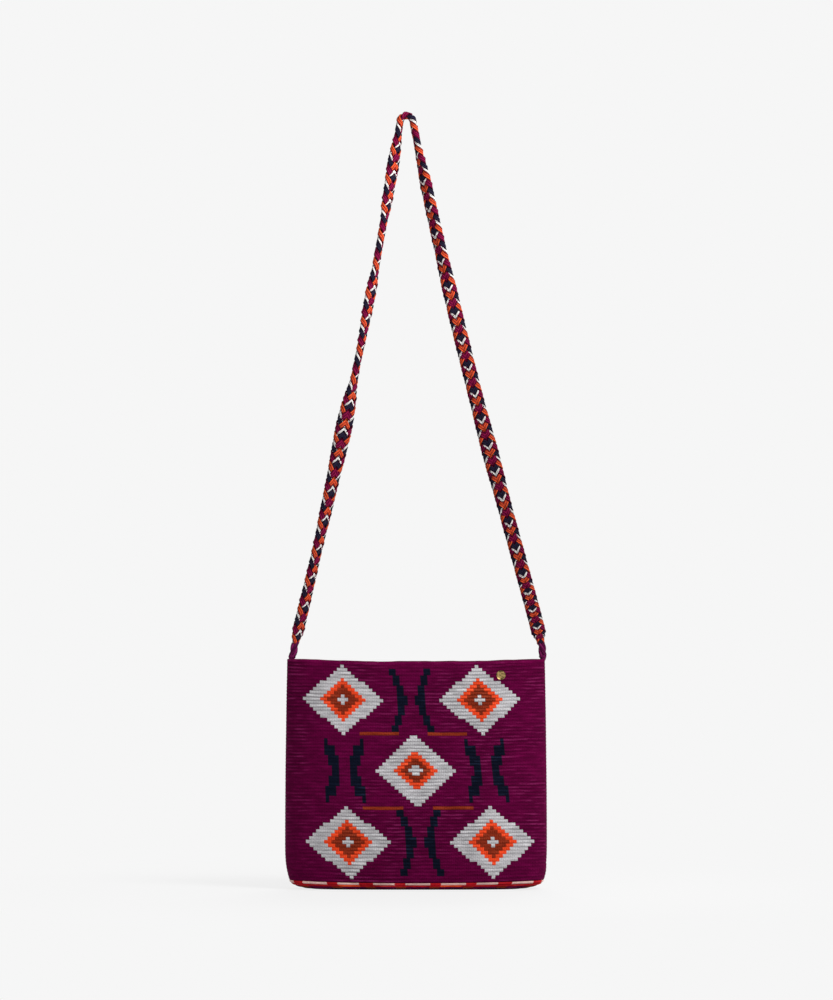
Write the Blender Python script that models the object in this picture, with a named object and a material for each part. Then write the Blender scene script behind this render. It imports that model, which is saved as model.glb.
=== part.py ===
"""Crossbody bag in tapestry crochet, drawn with its plaited strap held up as on a peg.

Metres, +Z up. The origin is the middle of the base, on the surface that the bag stands on.
The front faces -Y and the strap's two ends sit at -X and +X.
"""

import math

import bmesh
import bpy
from mathutils import Matrix, Vector

# The crocheted tube: rows of stitches worked round and round
ROW_PITCH = 0.00339
ROW_COUNT = 65
FABRIC = 0.0030
ROW_RELIEF = 0.0007
BOTTOM_WIDTH = 0.2535
BELLY_WIDTH = 0.2610
RIM_WIDTH = 0.2570
BOTTOM_DEPTH = 0.0550
BELLY_DEPTH = 0.0600
RIM_DEPTH = 0.0360
BELLY_HEIGHT = 0.0480
BOTTOM_SQUARENESS = 3.2
RIM_SQUARENESS = 2.5
RIM_SAG = 0.0030
RIM_ROUNDING = 0.0009
TUBE_POINTS = 20
END_CROWDING = 0.18
LINING_LEVELS = 4

# The base panel: a shallow dish whose underside is worked in flat rings
BASE_RISE = 0.0092
BASE_END_CURVE = 0.0290
BASE_SIDE_CURVE = 0.0110
BASE_CURVE_ROWS = 4
BASE_RING_PITCH = 0.0034
BASE_RING_COUNT = 3
BASE_GROOVE_WIDTH = 0.0012
BASE_GROOVE_DEPTH = 0.0006

# The strap: eight strands plaited square, so that each side shows chevrons
STRAP_WIDTH = 0.0145
STRAP_THICKNESS = 0.0074
STRAP_DROP = 0.5467
STRAP_BOW = 0.0045
STRAP_FOOT_RUN = 0.0250
PLAIT_PITCH = 0.00675
PLAIT_SLANT = 0.0045
PLAIT_RELIEF = 0.0011
PLAIT_END_RUN = 0.0200
STRAP_END_TAPER = 0.0140
PEG_SIDE_SHIFT = -0.0095
PEG_BEND_RADIUS = 0.0066
# How far the strap has turned about its own length, in degrees, from its right end to its left
STRAP_TWIST = (
    (0.000, 0),
    (0.325, 0),
    (0.370, 42),
    (0.430, 46),
    (0.480, 88),
    (0.515, 88),
    (0.550, 44),
    (0.585, 58),
    (0.610, 88),
    (0.640, 88),
    (0.672, 56),
    (0.740, 88),
    (0.795, 4),
    (0.825, 10),
    (0.860, 34),
    (0.910, 58),
    (1.000, 42),
)
# How wide the plait lies there, as a share of its width
STRAP_SPREAD = (
    (0.000, 1.00),
    (0.130, 1.00),
    (0.180, 1.15),
    (0.235, 1.00),
    (0.755, 1.00),
    (0.800, 1.15),
    (0.845, 0.95),
    (1.000, 0.95),
)

# The crocheted tabs that carry the strap's ends at the bag's top corners
TAB_WIDTH = 0.0074
TAB_DEPTH = 0.0056
TAB_HEIGHT = 0.0150
TAB_INSET_LEFT = 0.0045
TAB_INSET_RIGHT = 0.0020
TAB_GIVE_LEFT = 1.00
TAB_GIVE_RIGHT = 0.45
TAB_ROW_RELIEF = 0.0005
TAB_ROWS = 4
TAB_SIDES = 8

# The small brass disc on the front
DISC_RADIUS = 0.00475
DISC_EDGE = 0.0007
DISC_DOME = 0.0006
DISC_SIDES = 20
DISC_FROM_END = 0.0439
DISC_BELOW_RIM = 0.0160

# Running gap left between two pieces that touch
SEAT_GAP = 0.0003

TUBE_FOOT = BASE_RISE + SEAT_GAP
TUBE_HEIGHT = ROW_PITCH * ROW_COUNT
RIM_HEIGHT = TUBE_FOOT + TUBE_HEIGHT

PLUM = (0.105, 0.004, 0.040, 1.0)
CREAM = (0.560, 0.330, 0.240, 1.0)
ORANGE = (0.640, 0.080, 0.022, 1.0)
BRASS = (0.420, 0.300, 0.110, 1.0)


def clear_scene():
    for obj in list(bpy.data.objects):
        bpy.data.objects.remove(obj, do_unlink=True)


def material(name, colour, roughness, metallic=0.0):
    made = bpy.data.materials.new(name)
    made.use_nodes = True
    shader = made.node_tree.nodes["Principled BSDF"]
    shader.inputs["Base Color"].default_value = colour
    shader.inputs["Roughness"].default_value = roughness
    shader.inputs["Metallic"].default_value = metallic
    return made


def add_object(name, bm, finish, smooth_angle=50.0):
    """Turns a closed bmesh into a named object with its faces pointing out."""
    bmesh.ops.recalc_face_normals(bm, faces=bm.faces)
    mesh = bpy.data.meshes.new(name)
    bm.to_mesh(mesh)
    bm.free()
    mesh.shade_smooth()
    mesh.set_sharp_from_angle(angle=math.radians(smooth_angle))
    mesh.materials.append(finish)
    obj = bpy.data.objects.new(name, mesh)
    bpy.context.scene.collection.objects.link(obj)
    return obj


def skin(bm, rings, closed):
    """Joins rings of as many points each, one after another. A closed skin also joins the last to the first."""
    loops = [[bm.verts.new(point) for point in ring] for ring in rings]
    following = loops[1:] + loops[:1] if closed else loops[1:]
    for near, far in zip(loops, following):
        count = len(near)
        for i in range(count):
            j = (i + 1) % count
            bm.faces.new((near[i], near[j], far[j], far[i]))
    return loops


# The outline of the bag


def superellipse(half_width, half_depth, squareness, count):
    """Points round a level section of the bag, from its +X end, front side last, crowded at the ends."""
    points = []
    for i in range(count):
        angle = math.tau * i / count
        angle -= END_CROWDING * math.sin(2 * angle)
        c, s = math.cos(angle), math.sin(angle)
        x = half_width * math.copysign(abs(c) ** (2 / squareness), c)
        y = half_depth * math.copysign(abs(s) ** (2 / squareness), s)
        points.append((x, y))
    return points


def swell(height, bottom, belly, rim):
    """A size of the tube at a height: it grows from the bottom to the belly, then eases in to the rim."""
    belly_height = min(BELLY_HEIGHT, TUBE_FOOT + 0.8 * TUBE_HEIGHT)
    if height < belly_height:
        left = (belly_height - height) / (belly_height - TUBE_FOOT)
        return belly + (bottom - belly) * left**3
    above = (height - belly_height) / (RIM_HEIGHT - belly_height)
    return belly + (rim - belly) * (1 - math.cos(above * math.pi / 2))


def tube_section(height, inset):
    """The tube's outline at a height, moved in by inset, as (x, y) points."""
    half_width = swell(height, BOTTOM_WIDTH, BELLY_WIDTH, RIM_WIDTH) / 2
    half_depth = swell(height, BOTTOM_DEPTH, BELLY_DEPTH, RIM_DEPTH) / 2
    share = (height - TUBE_FOOT) / TUBE_HEIGHT
    squareness = BOTTOM_SQUARENESS + (RIM_SQUARENESS - BOTTOM_SQUARENESS) * share
    return superellipse(half_width - inset, half_depth - inset, squareness, TUBE_POINTS)


def tube_ring(height, inset):
    """The same outline in space. The rim hangs a little between the corners that the strap pulls up."""
    share = max(0.0, (height - TUBE_FOOT) / TUBE_HEIGHT)
    ring = []
    for x, y in tube_section(height, inset):
        across = min(1.0, abs(x) / (RIM_WIDTH / 2))
        sag = RIM_SAG * share**2 * (1 - across**2)
        ring.append((x, y, height - sag))
    return ring


def front_at(x, height):
    """Where the front of the tube, at the crests of its rows, stands at x and a height."""
    points = sorted(p for p in tube_section(height, 0.0) if p[1] <= 0)
    for (x0, y0), (x1, y1) in zip(points, points[1:]):
        if x0 <= x <= x1:
            return y0 + (y1 - y0) * (x - x0) / (x1 - x0)
    return 0.0


def make_body(finish):
    """The open tube: ridged rows outside, a rounded rim, and a plain inside."""
    half_rows = 2 * ROW_COUNT
    rings = []
    for i in range(half_rows):
        inset = ROW_RELIEF if i % 2 == 0 else 0.0
        rings.append(tube_ring(TUBE_FOOT + TUBE_HEIGHT * i / half_rows, inset))
    shoulder = RIM_HEIGHT - RIM_ROUNDING
    rings.append(tube_ring(shoulder, 0.0))
    rings.append(tube_ring(RIM_HEIGHT, RIM_ROUNDING))
    rings.append(tube_ring(RIM_HEIGHT, FABRIC - RIM_ROUNDING))
    for i in range(LINING_LEVELS + 1):
        share = 1 - i / LINING_LEVELS
        rings.append(tube_ring(TUBE_FOOT + (shoulder - TUBE_FOOT) * share, FABRIC))
    bm = bmesh.new()
    skin(bm, rings, closed=True)
    return add_object("bag_body", bm, finish)


def base_ring(drop, thickness, relief):
    """A ring on the dish's curved side. drop is 0 at its edge and 1 where the underside turns flat."""
    lean = 1 - math.cos(drop * math.pi / 2)
    fall = math.sin(drop * math.pi / 2)
    half_width = BOTTOM_WIDTH / 2 - BASE_END_CURVE * lean - thickness - relief
    half_depth = BOTTOM_DEPTH / 2 - BASE_SIDE_CURVE * lean - thickness - relief
    height = BASE_RISE - (BASE_RISE - thickness) * fall
    points = superellipse(half_width, half_depth, BOTTOM_SQUARENESS, TUBE_POINTS)
    return [(x, y, height + relief * fall) for x, y in points]


def flat_ring(inset, height):
    """A level ring on the flat underside or floor, moved in by inset from where the curve ends."""
    half_width = BOTTOM_WIDTH / 2 - BASE_END_CURVE - inset
    half_depth = BOTTOM_DEPTH / 2 - BASE_SIDE_CURVE - inset
    points = superellipse(half_width, half_depth, BOTTOM_SQUARENESS, TUBE_POINTS)
    return [(x, y, height) for x, y in points]


def make_base(finish):
    """The dish: ridged curved side, flat underside with ring grooves, and a plain floor inside."""
    rings = []
    half_rows = 2 * BASE_CURVE_ROWS
    for i in range(half_rows + 1):
        relief = ROW_RELIEF if i % 2 else 0.0
        rings.append(base_ring(i / half_rows, 0.0, relief))
    for i in range(BASE_RING_COUNT):
        near = BASE_RING_PITCH * (i + 1) - BASE_GROOVE_WIDTH
        rings.append(flat_ring(near, 0.0))
        rings.append(flat_ring(near + BASE_GROOVE_WIDTH / 2, BASE_GROOVE_DEPTH))
        rings.append(flat_ring(near + BASE_GROOVE_WIDTH, 0.0))
    bm = bmesh.new()
    outside = skin(bm, rings, closed=False)
    bm.faces.new(outside[-1])
    levels = 3
    inside_rings = [base_ring(i / levels, FABRIC, 0.0) for i in range(levels + 1)]
    inside = skin(bm, inside_rings, closed=False)
    bm.faces.new(inside[-1])
    for i in range(TUBE_POINTS):
        j = (i + 1) % TUBE_POINTS
        bm.faces.new((outside[0][i], outside[0][j], inside[0][j], inside[0][i]))
    return add_object("base_panel", bm, finish)


# The strap's route, drawn in the plane of the bag's front as (x, z) points


def corner_point(side):
    """The middle of a tab's foot, on the rim at the bag's corner. side is -1 or 1."""
    inset = TAB_INSET_LEFT if side < 0 else TAB_INSET_RIGHT
    return Vector((side * (RIM_WIDTH / 2 - inset), RIM_HEIGHT + SEAT_GAP))


def peg_centre():
    """The middle of the bend that the strap makes over whatever holds it up."""
    top = RIM_HEIGHT + STRAP_DROP
    return Vector((PEG_SIDE_SHIFT, top - STRAP_THICKNESS / 2 - PEG_BEND_RADIUS))


def tab_direction(side):
    """A tab stands up from the rim and gives way to the strap's pull, wholly or in part."""
    pull = peg_centre() - corner_point(side)
    give = TAB_GIVE_LEFT if side < 0 else TAB_GIVE_RIGHT
    lean = give * math.atan2(pull.x, pull.y)
    return Vector((math.sin(lean), math.cos(lean)))


def tab_tip(side):
    return corner_point(side) + tab_direction(side) * TAB_HEIGHT


def bezier(start, first_pull, second_pull, end, count):
    """Points of a cubic curve, without its end."""
    points = []
    for i in range(count):
        t = i / count
        u = 1 - t
        near = start * u**3 + first_pull * 3 * t * u**2
        far = second_pull * 3 * t**2 * u + end * t**3
        points.append(near + far)
    return points


def leg(side, count=90):
    """A leg of the strap from its tab to the bend, hanging slightly inwards, and the angle where it meets it."""
    centre = peg_centre()
    start = tab_tip(side) + tab_direction(side) * SEAT_GAP
    along = (centre - start).normalized()
    inwards = Vector((-side * along.y, side * along.x))
    first_pull = start + tab_direction(side) * STRAP_FOOT_RUN
    second_pull = start.lerp(centre, 0.5) + inwards * 2 * STRAP_BOW
    back = second_pull - centre
    turn = side * math.acos(PEG_BEND_RADIUS / back.length)
    angle = math.atan2(back.y, back.x) + turn
    end = centre + PEG_BEND_RADIUS * Vector((math.cos(angle), math.sin(angle)))
    return bezier(start, first_pull, second_pull, end, count), angle % math.tau


def strap_route(bend_count=24):
    """The strap's centre line from its right end, over the peg, to its left end."""
    right, right_angle = leg(1)
    left, left_angle = leg(-1)
    left_angle = left_angle if left_angle > right_angle else left_angle + math.tau
    centre = peg_centre()
    bend = []
    for i in range(bend_count):
        angle = right_angle + (left_angle - right_angle) * i / bend_count
        bend.append(centre + PEG_BEND_RADIUS * Vector((math.cos(angle), math.sin(angle))))
    end = centre + PEG_BEND_RADIUS * Vector((math.cos(left_angle), math.sin(left_angle)))
    return right + bend + [end] + left[::-1]


def lengths_along(points):
    """The distance from the first point to each point, along the line."""
    total = [0.0]
    for a, b in zip(points, points[1:]):
        total.append(total[-1] + (b - a).length)
    return total


def place_on(points, lengths, distance):
    """The point of a line at a distance along it, and the direction there."""
    distance = min(max(distance, 0.0), lengths[-1])
    i = 0
    while i < len(points) - 2 and lengths[i + 1] < distance:
        i += 1
    share = (distance - lengths[i]) / (lengths[i + 1] - lengths[i])
    nearby = points[max(i - 1, 0) : i + 3]
    return points[i].lerp(points[i + 1], share), (nearby[-1] - nearby[0]).normalized()


def eased(table, share):
    """A value at a share of the strap's length, eased between the listed places."""
    for (s0, a0), (s1, a1) in zip(table, table[1:]):
        if share <= s1:
            t = (share - s0) / (s1 - s0)
            return a0 + (a1 - a0) * t * t * (3 - 2 * t)
    return table[-1][1]


def plait_profile():
    """Where the plait's eight column edges stand in its section, and how far each runs ahead on a strand.

    Each entry is (across, out, ahead): across and out are shares of the half width and half
    thickness, and ahead is in slants. The front shows two chevrons' edges and the back one wide chevron.
    """
    return (
        (1.00, 0.00, 0),
        (0.55, -1.00, 1),
        (0.00, -0.86, 0),
        (-0.55, -1.00, 1),
        (-1.00, 0.00, 0),
        (-0.55, 1.00, -1),
        (0.00, 0.86, -2),
        (0.55, 1.00, -1),
    )


def make_strap(finish):
    """The plaited strap: zigzag rings, each second one raised, make a strand's crest."""
    points = strap_route()
    lengths = lengths_along(points)
    total = lengths[-1]
    half_steps = 2 * round(total / PLAIT_PITCH)
    end_width = TAB_WIDTH / STRAP_WIDTH
    end_depth = TAB_DEPTH / STRAP_THICKNESS
    rings = []
    for i in range(half_steps + 1):
        middle = total * i / half_steps
        to_end = min(middle, total - middle)
        slant = PLAIT_SLANT * min(1.0, to_end / PLAIT_END_RUN)
        full = min(1.0, to_end / STRAP_END_TAPER)
        lower = PLAIT_RELIEF * full if i % 2 == 0 else 0.0
        spread = eased(STRAP_SPREAD, middle / total)
        half_width = STRAP_WIDTH / 2 * (end_width + (spread - end_width) * full) - lower
        half_depth = STRAP_THICKNESS / 2 * (end_depth + (1 - end_depth) * full) - lower
        ring = []
        for across, out, ahead in plait_profile():
            distance = middle + slant * ahead
            spot, forward = place_on(points, lengths, distance)
            turn = math.radians(eased(STRAP_TWIST, min(max(distance / total, 0.0), 1.0)))
            flat = Vector((forward.y, 0.0, -forward.x))
            towards = Vector((0.0, -1.0, 0.0))
            wide = flat * math.cos(turn) + towards * math.sin(turn)
            thick = flat * math.sin(turn) - towards * math.cos(turn)
            centre = Vector((spot.x, 0.0, spot.y))
            ring.append(centre + wide * half_width * across + thick * half_depth * out)
        rings.append(ring)
    bm = bmesh.new()
    loops = skin(bm, rings, closed=False)
    bm.faces.new(loops[0])
    bm.faces.new(loops[-1])
    return add_object("plaited_strap", bm, finish, smooth_angle=60.0)


def make_tab(name, side, finish):
    """A short crocheted cord from the rim's corner, leaning the way that the strap pulls it."""
    foot = corner_point(side)
    tip = tab_tip(side)
    direction = tab_direction(side)
    lean = math.atan2(direction.x, direction.y)
    half_rows = 2 * TAB_ROWS
    rings = []
    for i in range(half_rows + 1):
        share = i / half_rows
        lower = TAB_ROW_RELIEF if 0 < i < half_rows and i % 2 == 0 else 0.0
        tilt = lean * share
        spot = foot.lerp(tip, share)
        ring = []
        for k in range(TAB_SIDES):
            angle = math.tau * k / TAB_SIDES
            x = (TAB_WIDTH / 2 - lower) * math.cos(angle)
            y = (TAB_DEPTH / 2 - lower) * math.sin(angle)
            ring.append((spot.x + x * math.cos(tilt), y, spot.y - x * math.sin(tilt)))
        rings.append(ring)
    bm = bmesh.new()
    loops = skin(bm, rings, closed=False)
    bm.faces.new(loops[0])
    bm.faces.new(loops[-1])
    return add_object(name, bm, finish)


def make_disc(finish):
    """The brass disc, turned from its profile and laid on the crests of the front's rows."""
    profile = (
        (0.0, 0.0),
        (DISC_RADIUS, 0.0),
        (DISC_RADIUS, DISC_EDGE),
        (DISC_RADIUS * 0.72, DISC_EDGE + DISC_DOME * 0.6),
        (0.0, DISC_EDGE + DISC_DOME),
    )
    bm = bmesh.new()
    verts = [bm.verts.new((radius, 0.0, up)) for radius, up in profile]
    edges = [bm.edges.new(pair) for pair in zip(verts, verts[1:])]
    bmesh.ops.spin(
        bm,
        geom=verts + edges,
        axis=(0, 0, 1),
        cent=(0, 0, 0),
        steps=DISC_SIDES,
        angle=math.tau,
        use_merge=True,
    )
    bmesh.ops.remove_doubles(bm, verts=bm.verts, dist=1e-6)
    disc = add_object("brass_disc", bm, finish, smooth_angle=35.0)

    height = RIM_HEIGHT - DISC_BELOW_RIM
    x = RIM_WIDTH / 2 - DISC_FROM_END
    r = DISC_RADIUS
    top = Vector((x, front_at(x, height + r), height + r))
    bottom = Vector((x, front_at(x, height - r), height - r))
    left = Vector((x - r, front_at(x - r, height), height))
    right = Vector((x + r, front_at(x + r, height), height))
    up = (top - bottom).normalized()
    across = (right - left).normalized()
    out = across.cross(up).normalized()
    up = out.cross(across).normalized()
    seat = max((corner - (left + right) / 2).dot(out) for corner in (top, bottom, left, right))
    middle = (left + right) / 2 + out * (seat + SEAT_GAP)
    turned = Matrix((across, up, out)).transposed()
    disc.location = middle
    disc.rotation_euler = turned.to_euler()
    return disc


def main():
    clear_scene()
    plum = material("plum_cotton", PLUM, 0.9)
    cream = material("cream_cotton", CREAM, 0.9)
    orange = material("orange_cotton", ORANGE, 0.9)
    brass = material("brass", BRASS, 0.35, 1.0)
    make_body(plum)
    make_base(cream)
    make_strap(orange)
    make_tab("strap_tab_left", -1, plum)
    make_tab("strap_tab_right", 1, plum)
    make_disc(brass)


main()
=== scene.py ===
"""The looks of a small crossbody bag in tapestry crochet, with a strap plaited from eight strands.

Metres, +Z up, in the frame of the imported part: the front faces -Y and the bag stands on z = 0.
"""

import math

import bmesh
import bpy
import numpy as np
from mathutils import Matrix, Vector


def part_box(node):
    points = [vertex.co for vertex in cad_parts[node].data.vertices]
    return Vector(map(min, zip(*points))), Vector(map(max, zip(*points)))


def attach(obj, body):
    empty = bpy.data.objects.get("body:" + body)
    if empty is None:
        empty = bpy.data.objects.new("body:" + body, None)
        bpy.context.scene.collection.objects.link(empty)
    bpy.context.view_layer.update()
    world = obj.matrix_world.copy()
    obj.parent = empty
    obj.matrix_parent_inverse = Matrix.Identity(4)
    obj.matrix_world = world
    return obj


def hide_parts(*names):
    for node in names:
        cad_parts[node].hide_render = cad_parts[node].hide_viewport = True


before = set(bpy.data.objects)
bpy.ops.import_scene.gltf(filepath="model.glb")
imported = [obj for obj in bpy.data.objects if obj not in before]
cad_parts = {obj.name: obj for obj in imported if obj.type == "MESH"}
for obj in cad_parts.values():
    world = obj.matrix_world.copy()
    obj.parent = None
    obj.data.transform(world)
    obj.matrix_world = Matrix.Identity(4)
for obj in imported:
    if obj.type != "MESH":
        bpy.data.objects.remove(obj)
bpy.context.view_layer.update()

MM = 0.001
SAME_POINT = 1e-6

# The bag's form, with the same sizes as the part's own source
BODY_LOW, BODY_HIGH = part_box("bag_body")
BASE_LOW, BASE_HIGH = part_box("base_panel")
STRAP_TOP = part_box("plaited_strap")[1].z
TUBE_FOOT = BODY_LOW.z
RIM_HEIGHT = BODY_HIGH.z
TUBE_HEIGHT = RIM_HEIGHT - TUBE_FOOT
BELLY_WIDTH = BODY_HIGH.x - BODY_LOW.x
BELLY_DEPTH = BODY_HIGH.y - BODY_LOW.y
BOTTOM_WIDTH = BASE_HIGH.x - BASE_LOW.x
BOTTOM_DEPTH = BASE_HIGH.y - BASE_LOW.y
BASE_RISE = BASE_HIGH.z
RIM_WIDTH = 257.0 * MM
RIM_DEPTH = 36.0 * MM
BELLY_HEIGHT = 48.0 * MM
BOTTOM_SQUARENESS = 3.2
RIM_SQUARENESS = 2.5
RIM_SAG = 3.0 * MM
FABRIC = 3.0 * MM
BASE_END_CURVE = 29.0 * MM
BASE_SIDE_CURVE = 11.0 * MM
OUTLINE_SAMPLES = 1440
EDGE_STEP = 0.002

# How the cloth hangs: uneven by about a millimetre, with swollen edges, a sunken seam and a full corner
UNEVENNESS = 1.1 * MM
BACK_UNEVENNESS = 2.0
ROW_WANDER = 0.5 * MM
ROW_RIPPLE = 0.22 * MM
CALM_FOOT = 0.08
EDGE_SWELL = 0.5 * MM
EDGE_GROOVE_LOSS = 0.6
SEAM_SINK = 2.2 * MM
SEAM_SINK_REACH = 55.0 * MM
CORNER_FILL = 1.3 * MM
CORNER_FILL_REACH = 26.0 * MM
CORNER_FILL_START = 0.75
CORNER_FILL_CURVE = 0.7

# The crochet
ROWS = 65
STITCHES = 156
ROW_RELIEF = 0.75 * MM
BASE_ROW_RELIEF = ROW_RELIEF * 0.8
STITCH_RELIEF = 0.12 * MM
STITCH_LEAN = 0.06
# How far each level of a row stands in from the row's crest, in shares of the relief
ROW_PROFILE = (1.0, 0.22, 0.0, 0.22)
LEVELS_PER_ROW = len(ROW_PROFILE)
COLUMNS_PER_STITCH = 2
COLUMNS = STITCHES * COLUMNS_PER_STITCH
RIM_LEVELS = 4
RIM_GROOVE = 0.55
RIM_DIP = 0.6 * MM
RIM_ROUNDING = 0.9 * MM
RIM_EDGE_INSET = 0.3 * MM
INSIDE_LEVELS = 33
INSIDE_DROP = 1.2 * MM
INSIDE_RIPPLE = 0.25 * MM
BASE_CURVE_ROWS = 5
BASE_FLAT_ROWS = 5
BASE_INSIDE_LEVELS = 8
# The base's two halves meet in a seam. Its outline keeps a width there, though none that shows
SEAM_HALF_WIDTH = 1e-7
TONE_RANGE = (0.93, 1.05)
TONE_ROWS = 400
RIM_TONE = 1.3
BODY_SEED = 11
BASE_SEED = 23

# The strap's route
STRAP_WIDTH = 14.5 * MM
STRAP_THICKNESS = 7.4 * MM
STRAP_BOW = 4.5 * MM
STRAP_FOOT_RUN = 25.0 * MM
STRAP_END_TAPER = 14.0 * MM
PEG_SIDE_SHIFT = -9.5 * MM
PEG_BEND_RADIUS = 6.6 * MM
LEG_POINTS = 260
BEND_POINTS = 60
DIRECTION_STEP = 0.8 * MM

# The strap's turns: shares of its length from its right end, and the degrees its front turns away
STRAP_TWIST = (
    (0.000, 0),
    (0.325, 0),
    (0.370, 42),
    (0.430, 46),
    (0.480, 88),
    (0.515, 88),
    (0.550, 44),
    (0.585, 58),
    (0.610, 88),
    (0.640, 88),
    (0.672, 56),
    (0.740, 88),
    (0.795, 4),
    (0.825, 10),
    (0.860, 34),
    (0.910, 58),
    (1.000, 42),
)
# How wide it lies at shares of its length, as shares of STRAP_WIDTH
STRAP_SPREAD = (
    (0.000, 1.00),
    (0.130, 1.00),
    (0.180, 1.15),
    (0.235, 1.00),
    (0.755, 1.00),
    (0.800, 1.15),
    (0.845, 0.95),
    (1.000, 0.95),
)

# The tabs. Where the left one and the right one differ, -1 stands for the left and 1 for the right
TAB_WIDTH = 7.4 * MM
TAB_DEPTH = 5.6 * MM
TAB_HEIGHT = 15.0 * MM
TAB_INSET = {-1: 4.5 * MM, 1: 2.0 * MM}
TAB_GIVE = {-1: 1.00, 1: 0.45}
TAB_BOW = {-1: 0.0, 1: 0.9 * MM}
TAB_FULLNESS = {-1: 1.05, 1: 0.92}
TAB_BULGE = {-1: 0.16, 1: 0.34}
TAB_FOOT_WIDTH = 0.62
TAB_FOOT_SHARE = 0.3
TAB_SPAN = (-0.1, 1.12)
TAB_POINTS = 27
TAB_TURNS = 0.55
TAB_FIRST_ANGLE = 0.5
TAB_CORDS = 3
TAB_CORD_RADIUS = 1.75 * MM
TAB_CORD_SIDES = 12
TAB_CORD_PLY_LENGTH = 3.4 * MM
TAB_FRONT_INSET = TAB_CORD_RADIUS * 0.8
TAB_DYES = (0.8, 0.3, 0.6, 0.5)
SEAT_GAP = 0.3 * MM

# The yarn that binds each tab's foot
BINDING_TURNS = 2.2
BINDING_POINTS = 61
BINDING_HEIGHTS = (0.9 * MM, 2.9 * MM)
BINDING_HALF_WIDTH = 2.9 * MM
BINDING_HALF_DEPTH = 2.5 * MM
BINDING_RADIUS = 0.75 * MM

# The plait: how far along the strap from its right end, in mm, and the plait's phase there, in cycles.
# It is worked tighter at its right end and looser down its left leg.
PLAIT_CYCLES = (
    (0, 10.9),
    (69, 7.0),
    (257, 0.0),
    (513, -9.4),
    (562, -11.4),
    (824, -20.4),
    (1063, -28.5),
    (1089, -29.4),
)
POINTS_PER_CYCLE = 26
# The right group's strands lag a little, and give way to the left group's where the two cross:
# (share of the cycle, how far out they move in half thicknesses, over what share of the cycle)
GROUP_LAG = 0.03
GIVING_WAY = ((0.105, -0.45, 0.05), (0.775, 0.50, 0.06))
# Where in the cycle, and over what share of it, one with a rise of its own comes up higher
RISE_PLACE = 0.912
RISE_BREADTH = 0.034
# How wide a strand lies at the strap's ends, as a share of its full width
END_WIDTH = 0.6
YARN_RADIUS = 0.72 * MM
EDGE_INSET = YARN_RADIUS * 0.9
YARN_SPACING = 1.12 * MM
YARN_SIDES = 8
YARN_STRAY = 0.2 * MM
STRAY_WAVES = 40
STRAY_PACE = (0.9, 2.6)
STRAY_SEED = 7
PLY_LENGTH = 2.6 * MM
PLIES = 3.0

# The brass disc, with its profile as (share of its radius, share of its thickness)
DISC_THICKNESS = 1.3 * MM
DISC_STEPS = 56
DISC_SHARP_ANGLE = 50
DISC_BACK_FACING = 0.6
DISC_PROFILE = (
    (0.00, 0.95),
    (0.45, 0.88),
    (0.78, 0.62),
    (0.84, 0.86),
    (0.92, 1.00),
    (0.98, 0.80),
    (1.00, 0.45),
    (0.98, 0.10),
    (0.90, 0.00),
    (0.00, 0.00),
)

# The yarns: (name, its colour, the colour of its sheen, which is also painted on its crests as painted
# sheen)
CROCHET_YARNS = (
    ("plum", "#540030", "#B04A88"),
    ("undyed", "#B0AEB1", "#FFFFFF"),
    ("orange", "#DD4220", "#FFA070"),
    ("rust", "#7D2916", "#C07050"),
    ("navy", "#0B0F1E", "#405070"),
    ("red", "#A8121C", "#FF8080"),
    ("blush", "#CDA79F", "#FFFFFF"),
)
CROCHET_SHEEN = 0.09
# How fine the streaks along the rows are along x, y and z, and the patches where the painted groove shade
# and painted sheen are fainter
STREAK_SCALE = (65, 65, 420)
PATCH_SCALE = 22.0
# (name, the deep and the light dye lot, the colour of its sheen)
PLIED_YARNS = (
    ("undyed", "#C2BEBC", "#E6E2E0", "#FFFFFF"),
    ("orange", "#7C1E1E", "#DC5630", "#FFB080"),
    ("plum", "#430420", "#821340", "#C060A0"),
    ("navy", "#1C0C1A", "#242439", "#405070"),
)
TAB_YARN = ("plum_tab_cotton", "#4C0836", "#82205C", "#C060A0")
PLIED_SHEEN = 0.03
# Painted light on the plied yarns, paler to the left and upwards: (from here, to here in metres, shade
# there, shade there)
PAINTED_LIGHT_ACROSS = (-0.08, 0.10, 1.10, 0.90)
PAINTED_LIGHT_UP = (0.36, 0.68, 1.0, 1.45)
TARNISHED_BRASS = "#57482C"
BARE_BRASS = "#AC9260"

# The stage: the floor is paler further off, and shows most of its own shade close to the bag
BACKDROP = "#F6F6F6"
FLOOR_COLOUR = "#D8D8D8"
FLOOR_SIZE = 12.0
FLOOR_GLOW_NEAR = 0.84
FLOOR_GLOW_REACH = (0.14, 0.50)
LIGHT_ALL_ROUND = 0.42
# (name, place, the point it faces, size, power)
LAMPS = (
    ("key", (1.35, -1.1, 1.75), (0, 0, 0.25), 0.9, 54),
    ("fill", (-1.9, -2.4, 1.0), (0, 0, 0.3), 1.8, 6),
    ("back", (0.4, 2.4, 1.8), (0, 0, 0.3), 1.8, 44),
)
CAMERA_DISTANCE = 5.5
CAMERA_REACH = 100
VIEW_HEIGHT = 1.0
VIEW_CENTRE = (0.5 * MM, 388.5 * MM)
SENSOR = 36.0


# Colours and materials


def linear(hex_colour):
    """An sRGB hex colour as linear red, green, blue and alpha."""
    channels = [int(hex_colour[i : i + 2], 16) / 255 for i in (1, 3, 5)]
    return [c / 12.92 if c <= 0.04045 else ((c + 0.055) / 1.055) ** 2.4 for c in channels] + [1.0]


def add_node(tree, kind, settings=None, links=None):
    """Adds a node. links holds, for each input, a socket to join to it or a value to set on it."""
    made = tree.nodes.new(kind)
    for name, value in (settings or {}).items():
        setattr(made, name, value)
    for name, value in (links or {}).items():
        if isinstance(value, bpy.types.NodeSocket):
            tree.links.new(value, made.inputs[name])
        else:
            made.inputs[name].default_value = value
    return made


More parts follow.
